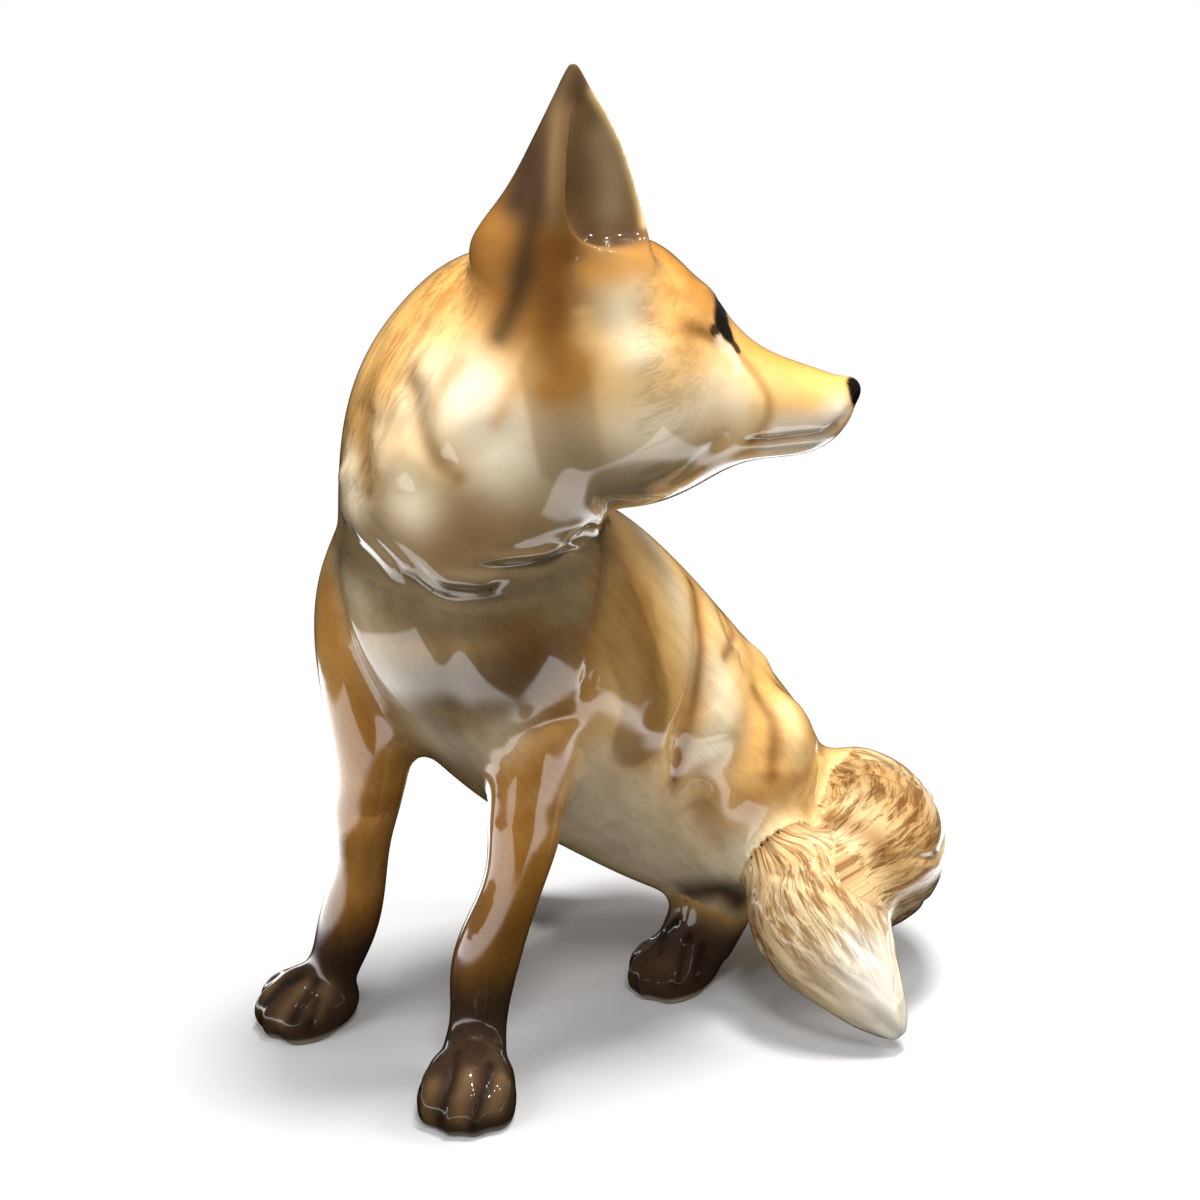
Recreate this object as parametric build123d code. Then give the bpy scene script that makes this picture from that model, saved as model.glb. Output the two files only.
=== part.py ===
from build123d import *
import os
from collections import namedtuple

# A seated fox figurine in glazed porcelain, looking back over its left shoulder.
# Hollow and solid castings are luted together with slip before the firing.
# Millimetres, +Z up, forefeet towards -Y, the fox's left side towards +X.

# Casting and luting
WALL = 4.0             # wall that the slip leaves in a hollow mould
SLIP_FILM = 0.6        # slip between two castings
VENT_RADIUS = 2.5      # firing vents, one under the belly and one into the tail
BELLY_VENT = (2, 66)   # left, back
BELLY_VENT_TOP = 45.0  # reaches up into the hollow of the torso
TAIL_VENT_DEPTH = 45.0  # from the tail's joint into the hollow of the torso

# A section of a casting's form: the place of its centre, then its two half sizes
Station = namedtuple("Station", "left back up half_width half_depth")
# The same on the head: along the face from the skull's centre and above it
FaceStation = namedtuple("FaceStation", "ahead above half_width half_height")
# A flat elliptical joint: place, outward direction, direction of its width, half sizes
Seam = namedtuple("Seam", "centre outward side half_width half_depth")


def turned(degrees):
    """Level direction to the fox's left, turned about +Z."""
    return Vector(1, 0, 0).rotate(Axis.Z, degrees)


# Directions that several castings share
CHEST_TURN = 36.0      # the chest twists to the fox's left
HIP_TURN = -8.0        # the hips twist the other way
HEAD_TURN = 141.0      # the face turns to the left from straight ahead
HEAD_ROLL = 4.0        # and the head tips, its right ear higher
LEFT_PAW_TURN = 45.0   # the way each foot points
RIGHT_PAW_TURN = -12.0
LEFT_FOOT_TURN = -8.0
RIGHT_FOOT_TURN = 30.0
UP = Vector(0, 0, 1)
ACROSS = Rot(0, 90, 0)  # stands a ball's poles on the fox's left and right
ALONG = Rot(90, 0, 0)   # and to its front and back
CHEST_FRONT = turned(CHEST_TURN - 90)
FACE = turned(HEAD_TURN - 90)
FACE_RIGHT = turned(HEAD_TURN - 180).rotate(Axis((0, 0, 0), FACE), -HEAD_ROLL)
CROWN = UP.rotate(Axis((0, 0, 0), FACE), -HEAD_ROLL)

# Joints between the castings
NECK = Seam(Vector(1, -22, 160), (UP + CHEST_FRONT * 0.36).normalized(), turned(CHEST_TURN), 36, 35)
LEFT_ELBOW = Seam(Vector(24.5, -22, 81), Vector(0, -0.2, -1).normalized(), turned(CHEST_TURN), 10.5, 12)
RIGHT_ELBOW = Seam(Vector(-18.5, -45, 79), Vector(-0.2, 0, -1).normalized(), turned(CHEST_TURN), 9.5, 11)
LEFT_HOCK = Seam(Vector(18, 57, 27), Vector(-0.15, -0.45, -0.88).normalized(), turned(LEFT_FOOT_TURN), 10, 14)
RIGHT_HOCK = Seam(Vector(-58, 41, 27), Vector(0, -0.35, -0.94).normalized(), turned(RIGHT_FOOT_TURN), 9, 12)
TAIL_ROOT = Seam(Vector(20, 110, 49.5), Vector(0.86, 0.48, -0.15).normalized(), UP, 16, 16)

# Torso below the neck joint, to the rump, and how far each section is turned
TORSO = [
    Station(-2, -17, 139, 42, 40),
    Station(-1, 4, 118, 39, 46),
    Station(0, 28, 96, 35, 45),
    Station(0, 52, 74, 34, 41.5),
    Station(2, 77, 52, 31, 36),
    Station(4, 95, 38, 23, 26),
    Station(5, 106, 30, 8, 9),
]
TORSO_TURNS = [32, 20, 8, -2, -8, -8, -8]
HOLLOW_TORSO_STATIONS = 6
# Haunches: an egg for each thigh, and the shank from it to the hock
HAUNCH_HALF_WIDTH = 17.0
HAUNCH_HALF_DEPTH = 24.0
HAUNCH_HALF_HEIGHT = 31.0
HAUNCH_PITCH = -20.0   # the thigh leans back at the top
LEFT_HAUNCH = Vector(25, 62, 67)
RIGHT_HAUNCH = Vector(-29, 64, 66)
LEFT_THIGH = [Station(24, 60, 58, 11, 14)]
RIGHT_THIGH = [Station(-36, 61, 58, 11, 14)]
TAIL_BASE = [Station(5, 93, 46, 14, 14)]  # the tail's root inside the rump
LEFT_SHOULDER = [
    Station(15, -8, 142, 12, 16),
    Station(20, -13, 122, 14, 18),
    Station(23.5, -18, 99, 12.5, 15),
]
RIGHT_SHOULDER = [
    Station(-20.5, -39, 148, 13, 15),
    Station(-20, -44, 125, 13, 17),
    Station(-16.5, -44.5, 99, 11.5, 14),
]

# Forelegs below their joints, and the paws
LEFT_FORELEG = [
    Station(25, -25, 68, 9, 10),
    Station(23, -28, 56, 8.5, 9.5),
    Station(19, -31, 42, 9.5, 10),
    Station(16, -33, 22, 8.5, 8.5),
    Station(19, -37, 12, 9.5, 8),
]
RIGHT_FORELEG = [
    Station(-22, -45, 66, 8.2, 9.5),
    Station(-27, -44, 50, 8, 9),
    Station(-31, -45, 37, 9, 9.5),
    Station(-36, -47, 22, 8, 8),
    Station(-39, -51, 12, 9, 8),
]
LEFT_PAW = Vector(27, -45, 0)
RIGHT_PAW = Vector(-41, -53, 0)
PAW_HALF_WIDTH = 13.0
PAW_HALF_LENGTH = 14.0
PAW_HEIGHT = 18.0
TOE_SHARE = 0.32       # half width of a toe, as a share of the paw's
TOE_HALF_LENGTH = 9.0
TOE_HEIGHT = 14.0
TOE_REACH = 9.0        # middle toes ahead of the paw's centre
TOE_STAGGER = 4.0      # outer toes behind the middle ones
SOLE_SINK = 3.0        # how far pads and toes go below the floor before their soles are cut flat

# Hind feet below the hocks, narrower than the paws
FOOT_HALF_WIDTH = 11.0
LEFT_SHANK = [Station(15, 51, 13, 11, 12)]
RIGHT_SHANK = [Station(-58, 37, 13, 9.5, 12)]
LEFT_FOOT = Vector(13, 47, 0)
RIGHT_FOOT = Vector(-56, 32, 0)

# Head: the neck's dome, then the skull and muzzle
NECK_DOME = [
    Station(2, -20, 180, 36, 35),
    Station(6, -16, 199, 33, 33),
    Station(12, -9, 214, 26, 27),
    Station(18, -2, 226, 14.5, 15),
]
SKULL_CENTRE = Vector(28, 9, 202)
SKULL = [
    FaceStation(-34, 6, 7, 8),
    FaceStation(-28, 4, 21, 23),
    FaceStation(-14, 1, 28, 32),
    FaceStation(2, -1, 31, 36),
    FaceStation(16, -2, 27, 31.5),
    FaceStation(27, -6, 19, 21.5),
    FaceStation(36, -9, 13, 15.5),
    FaceStation(49, -11, 10, 12),
    FaceStation(57, -10.5, 7.5, 8.5),
    FaceStation(61.5, -9, 4, 4.5),
]
HOLLOW_SKULL = slice(1, 7)
NOSE_RADIUS = 4.2
NOSE_AHEAD = 60.0
NOSE_ABOVE = -6.0
EYE_RADIUS = 6.0       # the eyes bulge from under the brow
EYE_AHEAD = 21.5
EYE_ASIDE = 9.5
EYE_ABOVE = 12.5
MOUTH_AHEAD = 33.0     # corner of the mouth, from the skull's centre
MOUTH_ABOVE = -17.5
MOUTH_RISE = 0.12      # slope of the mouth towards the nose
MOUTH_GAP = 1.0
MOUTH_DEPTH = 1.2

# Ears, from their joints on the skull to the tips
EAR_AHEAD = -12.5      # joint from the skull's centre
EAR_ASIDE = 20.0
EAR_ABOVE = 24.5
EAR_LEAN_OUT = 0.80    # slope of the joint, outwards and back
EAR_LEAN_BACK = 0.40
EAR_HALF_WIDTH = 21.0
EAR_HALF_DEPTH = 11.0
EAR_HEIGHT = 52.5
EAR_SPREAD = 3.0       # the tip stands this much further out than the joint
EAR_ROOT_DEPTH = 16.0  # the ear's root inside the skull, and its half sizes
EAR_ROOT_HALF_WIDTH = 21.0
EAR_ROOT_HALF_DEPTH = 14.0
# Share of the height, then of the joint's half sizes
EAR_TAPER = [(0.3, 0.85), (0.6, 0.56), (0.83, 0.28)]
EAR_TIP_HALF = 1.2
# The open hollow: share of the height, its offset towards the opening and its size as shares
EAR_HOLLOW = [
    (0.12, 0.40, 0.28),
    (0.3, 0.44, 0.62),
    (0.6, 0.30, 0.45),
    (0.83, 0.16, 0.22),
    (0.94, 0.08, 0.09),
]

# Tail: the loop from the rump, and the brush folded over in front of it
TAIL_LOOP = [
    Station(27, 111, 48, 18.5, 18.5),
    Station(37, 107, 45, 21, 21),
    Station(48, 97, 43, 21.5, 21),
    Station(54, 82, 42, 19, 19),
    Station(55, 69, 41, 13, 14),
]
TAIL_BRUSH = [
    Station(40, 57, 55, 6, 6),
    Station(47, 61, 46, 17, 15),
    Station(62, 62, 30, 19.5, 16),
    Station(75, 65, 16, 12, 10.5),
    Station(83, 68, 7, 5.5, 5),
    Station(86, 69, 3.5, 1.5, 1.5),
]
BRUSH_SIDE = (turned(50) * 0.86 + UP * 0.51).normalized()
HOLLOW_LOOP_STATIONS = 4
HOLLOW_BRUSH_STATIONS = (1, 4)


def section(centre, along, side, half_width, half_depth):
    """Ellipse square to along, with its width as near to side as that allows."""
    depth = along.cross(side)
    return Plane(origin=centre, x_dir=depth, z_dir=along) * Ellipse(half_depth, half_width)


def seam_section(seam, shift=0.0, inset=0.0, inward=False):
    """A joint's ellipse, moved along its outward direction and drawn in by a wall."""
    along = -seam.outward if inward else seam.outward
    centre = seam.centre + seam.outward * shift
    return section(centre, along, seam.side, seam.half_width - inset, seam.half_depth - inset)


def place(station):
    return Vector(station.left, station.back, station.up)


def directions(points):
    """Unit direction of travel at each point of a path."""
    last = len(points) - 1
    return [(points[min(i + 1, last)] - points[max(i - 1, 0)]).normalized() for i in range(last + 1)]


def limb_sections(stations, sides, before=None, after=None, inset=0.0):
    """Sections through the stations; before and after are the next places along the path."""
    points = [place(station) for station in stations]
    path = ([before] if before else []) + points + ([after] if after else [])
    start = 1 if before else 0
    along = directions(path)[start:start + len(points)]
    return [
        section(point, way, side, row.half_width - inset, row.half_depth - inset)
        for point, way, side, row in zip(points, along, sides, stations)
    ]


def limb(stations, side, seam, shift=0.0, after=None):
    """A form that starts at a joint and runs outwards through the stations."""
    sides = [side] * len(stations)
    return loft([seam_section(seam, shift)] + limb_sections(stations, sides, seam.centre, after))


def stub(stations, side, seam):
    """A limb's root on the torso, which ends in its joint."""
    sides = [side] * len(stations)
    return loft(limb_sections(stations, sides, after=seam.centre) + [seam_section(seam)])


def ellipsoid(centre, half_width, half_length, half_height):
    """Egg with its poles at the front and back."""
    return Pos(*centre) * scale(ALONG * Sphere(1), by=(half_width, half_length, half_height))


def above_floor(solid):
    return split(solid, bisect_by=Plane.XY, keep=Keep.TOP)


def slip(seam, inset=None):
    """The film of slip in a joint: a disc, or a ring round a hollow."""
    film = extrude(seam_section(seam), amount=SLIP_FILM, dir=seam.outward)
    if inset:
        film -= extrude(seam_section(seam, -SLIP_FILM, inset), amount=3 * SLIP_FILM, dir=seam.outward)
    return film


def vents():
    """Cutters for the torso's vents, down through the belly and out into the tail."""
    belly = extrude(Pos(*BELLY_VENT) * Circle(VENT_RADIUS), amount=BELLY_VENT_TOP)
    tail_end = Plane(origin=TAIL_ROOT.centre + TAIL_ROOT.outward * SLIP_FILM, z_dir=-TAIL_ROOT.outward)
    return belly, extrude(tail_end * Circle(VENT_RADIUS), amount=TAIL_VENT_DEPTH)


def haunch(centre):
    egg = scale(ACROSS * Sphere(1), by=(HAUNCH_HALF_WIDTH, HAUNCH_HALF_DEPTH, HAUNCH_HALF_HEIGHT))
    return Pos(*centre) * Rot(HAUNCH_PITCH, 0, HIP_TURN) * egg


def torso_form():
    sides = [turned(turn) for turn in TORSO_TURNS]
    form = loft([seam_section(NECK, inward=True)] + limb_sections(TORSO, sides, before=NECK.centre))
    form += stub(LEFT_SHOULDER, turned(CHEST_TURN), LEFT_ELBOW)
    form += stub(RIGHT_SHOULDER, turned(CHEST_TURN), RIGHT_ELBOW)
    form += haunch(LEFT_HAUNCH)
    form += haunch(RIGHT_HAUNCH)
    form += stub(LEFT_THIGH, turned(HIP_TURN), LEFT_HOCK)
    form += stub(RIGHT_THIGH, turned(HIP_TURN), RIGHT_HOCK)
    form += stub(TAIL_BASE, UP, TAIL_ROOT)
    return form


def torso_hollow():
    rows = TORSO[:HOLLOW_TORSO_STATIONS]
    sides = [turned(turn) for turn in TORSO_TURNS]
    mouth = seam_section(NECK, SLIP_FILM, WALL, inward=True)
    return loft([mouth] + limb_sections(rows, sides, before=NECK.centre, inset=WALL))


def paw(centre, turn, half_width):
    """A pad with its four toes, facing -Y before it is turned."""
    half_height = (PAW_HEIGHT + SOLE_SINK) / 2
    form = ellipsoid((0, 0, half_height - SOLE_SINK), half_width, PAW_HALF_LENGTH, half_height)
    toe_half_height = (TOE_HEIGHT + SOLE_SINK) / 2
    for step in (-1.5, -0.5, 0.5, 1.5):
        aside = step * half_width / 2
        ahead = TOE_REACH - TOE_STAGGER * (abs(step) - 0.5)
        toe_place = (aside, -ahead, toe_half_height - SOLE_SINK)
        form += ellipsoid(toe_place, half_width * TOE_SHARE, TOE_HALF_LENGTH, toe_half_height)
    return Pos(*centre) * Rot(0, 0, turn) * form


def foreleg(stations, seam, paw_place, paw_turn):
    leg = limb(stations, turned(CHEST_TURN), seam, SLIP_FILM)
    return above_floor(leg + paw(paw_place, paw_turn, PAW_HALF_WIDTH))


def hind_foot(stations, seam, foot_place, foot_turn):
    shank = limb(stations, seam.side, seam, SLIP_FILM, after=foot_place)
    return above_floor(shank + paw(foot_place, foot_turn, FOOT_HALF_WIDTH))


def on_head(ahead, aside, above):
    """Place on the head, from the skull's centre."""
    return SKULL_CENTRE + FACE * ahead + FACE_RIGHT * aside + CROWN * above


def ear_seam(hand):
    """Joint of an ear; hand is 1 on the face's right and -1 on its left."""
    aside = FACE_RIGHT * hand
    centre = on_head(EAR_AHEAD, hand * EAR_ASIDE, EAR_ABOVE)
    outward = (CROWN + aside * EAR_LEAN_OUT - FACE * EAR_LEAN_BACK).normalized()
    return Seam(centre, outward, FACE, EAR_HALF_WIDTH, EAR_HALF_DEPTH)


def ear_axis(seam, hand, share):
    """Place on the line from an ear's joint to its tip."""
    foot = seam.centre + seam.outward * SLIP_FILM
    return foot + (CROWN * EAR_HEIGHT + FACE_RIGHT * hand * EAR_SPREAD) * share


def ear_section(centre, size):
    """Section across an ear, as a share of its half sizes."""
    return section(centre, CROWN, FACE, EAR_HALF_WIDTH * size, EAR_HALF_DEPTH * size)


def ear(hand):
    seam = ear_seam(hand)
    sections = [seam_section(seam, SLIP_FILM)]
    for share, size in EAR_TAPER:
        sections.append(ear_section(ear_axis(seam, hand, share), size))
    sections.append(section(ear_axis(seam, hand, 1), CROWN, FACE, EAR_TIP_HALF, EAR_TIP_HALF))
    opening = FACE * EAR_HALF_WIDTH + FACE_RIGHT * hand * EAR_HALF_DEPTH
    hollow = []
    for share, offset, size in EAR_HOLLOW:
        hollow.append(ear_section(ear_axis(seam, hand, share) + opening * offset, size))
    return loft(sections) - loft(hollow)


def skull_sections(rows, inset=0.0):
    sections = []
    for row in rows:
        centre = on_head(row.ahead, 0, row.above)
        sections.append(section(centre, FACE, FACE_RIGHT, row.half_width - inset, row.half_height - inset))
    return sections


def mouth():
    """Groove between the lips: a slab across the muzzle, less the muzzle drawn in."""
    length = NOSE_AHEAD - MOUTH_AHEAD + NOSE_RADIUS
    along = (FACE + CROWN * MOUTH_RISE).normalized()
    corner = on_head(MOUTH_AHEAD, 0, MOUTH_ABOVE)
    across = Plane(corner + along * length / 2, x_dir=along, z_dir=FACE_RIGHT)
    slab = across * Box(length, MOUTH_GAP, length)
    return slab - loft(skull_sections(SKULL, MOUTH_DEPTH))


def head_form():
    form = limb(NECK_DOME, turned(CHEST_TURN), NECK, SLIP_FILM)
    form += loft(skull_sections(SKULL))
    form += Pos(*on_head(NOSE_AHEAD, 0, NOSE_ABOVE)) * Sphere(NOSE_RADIUS)
    for hand in (1, -1):
        form += Pos(*on_head(EYE_AHEAD, hand * EYE_ASIDE, EYE_ABOVE)) * Sphere(EYE_RADIUS)
        seam = ear_seam(hand)
        root = section(seam.centre - seam.outward * EAR_ROOT_DEPTH, seam.outward, FACE,
                       EAR_ROOT_HALF_WIDTH, EAR_ROOT_HALF_DEPTH)
        form += loft([root, seam_section(seam)])
    return form - mouth()


def head_hollows():
    """The hollows of the neck and of the skull, which run into each other."""
    sides = [turned(CHEST_TURN)] * len(NECK_DOME)
    mouth = seam_section(NECK, 0, WALL)
    neck = loft([mouth] + limb_sections(NECK_DOME[:-1], sides, before=NECK.centre, inset=WALL))
    return neck, loft(skull_sections(SKULL[HOLLOW_SKULL], WALL))


def tail_form():
    form = limb(TAIL_LOOP, UP, TAIL_ROOT, SLIP_FILM)
    return form + loft(limb_sections(TAIL_BRUSH, [BRUSH_SIDE] * len(TAIL_BRUSH)))


def tail_hollows():
    rows = TAIL_LOOP[:HOLLOW_LOOP_STATIONS]
    after = place(TAIL_LOOP[HOLLOW_LOOP_STATIONS])
    loop = limb_sections(rows, [UP] * len(rows), TAIL_ROOT.centre, after, WALL)
    first, end = HOLLOW_BRUSH_STATIONS
    rows = TAIL_BRUSH[first:end]
    before, after = place(TAIL_BRUSH[first - 1]), place(TAIL_BRUSH[end])
    brush = limb_sections(rows, [BRUSH_SIDE] * len(rows), before, after, WALL)
    return loft([seam_section(TAIL_ROOT, 0, WALL)] + loop), loft(brush)


def hollowed(solid, *hollows):
    for hollow in hollows:
        solid = solid - hollow
    return solid


def castings():
    """Every piece by name; a piece that meets the torso or head beside its joint is trimmed to it."""
    body = torso_form()
    skull = head_form()
    return {
        "torso": hollowed(body, torso_hollow(), *vents()),
        "head": hollowed(skull, *head_hollows()),
        "left_ear": ear(-1) - skull,
        "right_ear": ear(1) - skull,
        "left_foreleg": foreleg(LEFT_FORELEG, LEFT_ELBOW, LEFT_PAW, LEFT_PAW_TURN) - body,
        "right_foreleg": foreleg(RIGHT_FORELEG, RIGHT_ELBOW, RIGHT_PAW, RIGHT_PAW_TURN) - body,
        "left_hind_foot": hind_foot(LEFT_SHANK, LEFT_HOCK, LEFT_FOOT, LEFT_FOOT_TURN) - body,
        "right_hind_foot": hind_foot(RIGHT_SHANK, RIGHT_HOCK, RIGHT_FOOT, RIGHT_FOOT_TURN) - body,
        "tail": above_floor(hollowed(tail_form() - body, *tail_hollows())),
        "neck_lute": slip(NECK, WALL),
        "left_ear_lute": slip(ear_seam(-1)) - skull,
        "right_ear_lute": slip(ear_seam(1)) - skull,
        "left_foreleg_lute": slip(LEFT_ELBOW) - body,
        "right_foreleg_lute": slip(RIGHT_ELBOW) - body,
        "left_hind_foot_lute": slip(LEFT_HOCK) - body,
        "right_hind_foot_lute": slip(RIGHT_HOCK) - body,
        "tail_lute": slip(TAIL_ROOT, WALL) - body,
    }


def stood_at_origin(pieces):
    """The pieces moved together, so that the middle of their box stands on the origin."""
    box = Compound(children=[solid.solid() for solid in pieces.values()]).bounding_box()
    middle = box.center()
    return {name: Pos(-middle.X, -middle.Y, -box.min.Z) * solid for name, solid in pieces.items()}


os.makedirs("parts", exist_ok=True)
for name, solid in stood_at_origin(castings()).items():
    export_step(solid, f"parts/{name}.step")
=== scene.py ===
import math
import random
from collections import namedtuple

import bpy
import numpy as np
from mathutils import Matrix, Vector
from mathutils.bvhtree import BVHTree


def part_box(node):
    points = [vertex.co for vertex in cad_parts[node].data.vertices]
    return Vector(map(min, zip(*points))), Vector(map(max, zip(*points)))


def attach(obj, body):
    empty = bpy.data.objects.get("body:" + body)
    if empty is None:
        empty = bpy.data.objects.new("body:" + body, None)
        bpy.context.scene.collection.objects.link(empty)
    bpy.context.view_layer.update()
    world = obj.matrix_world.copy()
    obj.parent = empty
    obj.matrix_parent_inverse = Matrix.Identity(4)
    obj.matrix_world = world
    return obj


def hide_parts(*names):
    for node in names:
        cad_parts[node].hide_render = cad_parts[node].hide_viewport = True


# A seated fox figurine in airbrushed, glazed porcelain, on a pale studio floor.
# The castings are copied and fused into one clay figure, which is carved, airbrushed
# and parted at its joints again, so that every casting keeps a piece of its own.
# Places are millimetres in the maker's drawing, unless a name says otherwise.

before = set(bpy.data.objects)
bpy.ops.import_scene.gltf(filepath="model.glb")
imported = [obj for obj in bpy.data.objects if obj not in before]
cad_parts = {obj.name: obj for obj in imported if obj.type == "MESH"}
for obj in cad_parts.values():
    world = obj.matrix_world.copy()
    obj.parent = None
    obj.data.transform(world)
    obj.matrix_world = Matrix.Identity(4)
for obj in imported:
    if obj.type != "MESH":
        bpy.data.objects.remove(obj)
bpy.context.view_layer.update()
bpy.ops.object.select_all(action="DESELECT")
random.seed(7)

MM = 0.001
CASTINGS = [
    "torso", "head", "left_ear", "right_ear", "left_foreleg", "right_foreleg",
    "left_hind_foot", "right_hind_foot", "tail",
]

# The drawing's origin, found from the middle of the slip ring in the neck
NECK_RING = np.array([1.06, -22.08, 160.28])
ring_low, ring_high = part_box("neck_lute")
ORIGIN = (np.array(ring_low) + np.array(ring_high)) / 2 / MM - NECK_RING


def to_scene(place):
    """Scene place, in metres, of a place in the drawing."""
    return Vector((np.array(place, float) + ORIGIN) * MM)


def to_drawing(place):
    return np.array(place) / MM - ORIGIN


# Head axes, as the skull is turned and tipped
HEAD_TURN = 141.0
HEAD_ROLL = 4.0
SKULL_CENTRE = np.array([28.0, 9.0, 202.0])
turn = math.radians(HEAD_TURN - 90)
roll = math.radians(HEAD_ROLL)
FACE = np.array([math.cos(turn), math.sin(turn), 0.0])
LEVEL_RIGHT = np.array([math.sin(turn), -math.cos(turn), 0.0])
FACE_RIGHT = LEVEL_RIGHT * math.cos(roll) + np.array([0, 0, math.sin(roll)])
CROWN = np.cross(FACE_RIGHT, FACE)
BODY_MIDDLE = np.array([0.0, 40.0, 80.0])
BODY_RIGHT = np.array([-0.99, 0.14, 0.0])


def mirrored(path, centre, side):
    """A path on the other side of a plane through centre, square to side."""
    return path - 2 * ((path - centre) @ side)[:, None] * side


# Camera at the photograph's place

CAMERA_PLACE = (413.0, -321.4, 300.0)
CAMERA_AIM = (30.0, 0.0, 140.0)
LENS = 58.2
SENSOR = 36.0
PHOTO_SIDE = 1200


def aim(obj, place):
    """Turns a camera or lamp towards a place in the drawing."""
    obj.rotation_euler = (to_scene(place) - obj.location).to_track_quat("-Z", "Y").to_euler()


def add_camera():
    data = bpy.data.cameras.new("camera")
    data.lens = LENS
    data.sensor_width = SENSOR
    camera = bpy.data.objects.new("camera", data)
    bpy.context.collection.objects.link(camera)
    camera.location = to_scene(CAMERA_PLACE)
    aim(camera, CAMERA_AIM)
    bpy.context.scene.camera = camera
    bpy.context.view_layer.update()
    return camera


camera = add_camera()


def sight(pixel):
    """Direction from the camera through a pixel of the photograph."""
    focal = LENS / SENSOR * PHOTO_SIDE
    across = (pixel[0] - PHOTO_SIDE / 2) / focal
    down = (pixel[1] - PHOTO_SIDE / 2) / focal
    return (camera.matrix_world.to_3x3() @ Vector((across, -down, -1))).normalized()


# Clay figure

VOXEL = 0.9
SLIT_REACH = 1.2
MERGE_GAP = 0.01       # corners nearer than this become one
VENT_PLUG_RADIUS = 5.0
VENT_PLUG_LENGTH = 24.0
VENT_PLUG_SIDES = 24
VENT_PLACE = (2.0, 66.0, 26.0)
EDGE_SEARCH = (360, 680, 4)    # distances from the camera that hold the figure, and the step
SMOOTH_LEVELS = 10     # steps of the weights by which the clay is smoothed
SMOOTH_FACTOR = 0.5
SHORTEST_LEG = 1e-6    # a leg of a path that has no length counts as this long


def select_only(objects):
    bpy.ops.object.select_all(action="DESELECT")
    for obj in objects:
        obj.select_set(True)
    bpy.context.view_layer.objects.active = objects[0]


def vent_plug():
    """Stops the vent under the belly, so that no hollow is left in the clay."""
    bpy.ops.mesh.primitive_cylinder_add(
        vertices=VENT_PLUG_SIDES,
        radius=VENT_PLUG_RADIUS * MM,
        depth=VENT_PLUG_LENGTH * MM,
        location=to_scene(VENT_PLACE),
    )
    return bpy.context.object


def fused_figure():
    """All castings and their slip as one closed skin."""
    copies = []
    for name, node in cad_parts.items():
        copy = bpy.data.objects.new("clay_" + name, node.data.copy())
        bpy.context.collection.objects.link(copy)
        copies.append(copy)
    copies.append(vent_plug())
    select_only(copies)
    bpy.ops.object.join()
    figure = bpy.context.object
    figure.name = "figure"
    bpy.ops.object.transform_apply(location=True, rotation=True, scale=True)
    bpy.ops.object.mode_set(mode="EDIT")
    bpy.ops.mesh.select_all(action="SELECT")
    bpy.ops.mesh.remove_doubles(threshold=MERGE_GAP * MM)
    bpy.ops.object.mode_set(mode="OBJECT")
    figure.data.materials.clear()
    return figure


figure = fused_figure()


class Clay:
    """The figure's surface while it is worked on, in millimetres of the drawing."""

    def __init__(self, obj):
        self.obj = obj
        self.read()

    def read(self):
        mesh = self.obj.data
        flat = np.empty(len(mesh.vertices) * 3)
        mesh.vertices.foreach_get("co", flat)
        self.points = to_drawing(flat.reshape(-1, 3))
        mesh.vertices.foreach_get("normal", flat)
        self.normals = flat.reshape(-1, 3).copy()
        self.tree = BVHTree.FromObject(self.obj, bpy.context.evaluated_depsgraph_get())

    def remesh(self):
        """Lays an even mesh over the clay, and drops what it closes in."""
        select_only([self.obj])
        self.obj.data.remesh_voxel_size = VOXEL * MM
        self.obj.data.use_remesh_preserve_attributes = False
        bpy.ops.object.voxel_remesh()
        bpy.ops.object.shade_smooth()
        self.read()

    def close_slits(self, reach):
        """Swells the clay until narrow slits meet, and takes it back."""
        self.push(np.full(len(self.points), reach))
        self.remesh()
        self.push(np.full(len(self.points), -reach))

    def push(self, amount):
        """Moves the surface along its normals."""
        self.shift(self.normals * amount[:, None])

    def shift(self, change):
        self.points += change
        mesh = self.obj.data
        mesh.vertices.foreach_set("co", ((self.points + ORIGIN) * MM).ravel())
        mesh.update()
        self.read()

    def traced(self, pixels):
        """Path on the surface under pixels of the photograph."""
        return np.array([to_drawing(self.seen(sight(pixel))) for pixel in pixels])

    def seen(self, direction):
        """The surface in a direction from the camera, or its edge where the direction passes beside it."""
        hit = self.tree.ray_cast(camera.location, direction)[0]
        if hit:
            return hit
        beside = [camera.location + direction * step * MM for step in range(*EDGE_SEARCH)]
        nearest = [self.tree.find_nearest(place) for place in beside]
        return min(nearest, key=lambda found: found[3])[0]

    def settled(self, path):
        """A path moved to the nearest places on the surface."""
        return np.array([to_drawing(self.tree.find_nearest(to_scene(place))[0]) for place in path])

    def smooth(self, weights, rounds):
        """Rounds off the clay where the weights are high."""
        group = self.obj.vertex_groups.new(name="rounded")
        for level in range(SMOOTH_LEVELS):
            low = level / SMOOTH_LEVELS
            high = (level + 1) / SMOOTH_LEVELS
            chosen = np.nonzero((weights > low) & (weights <= high))[0]
            group.add(chosen.tolist(), high, "REPLACE")
        rounding = self.obj.modifiers.new("rounding", "SMOOTH")
        rounding.factor = SMOOTH_FACTOR
        rounding.iterations = rounds
        rounding.vertex_group = "rounded"
        select_only([self.obj])
        bpy.ops.object.modifier_apply(modifier="rounding")
        self.obj.vertex_groups.clear()
        self.read()

    def smooth_all(self, weight, rounds):
        self.smooth(np.full(len(self.points), weight), rounds)


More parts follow.
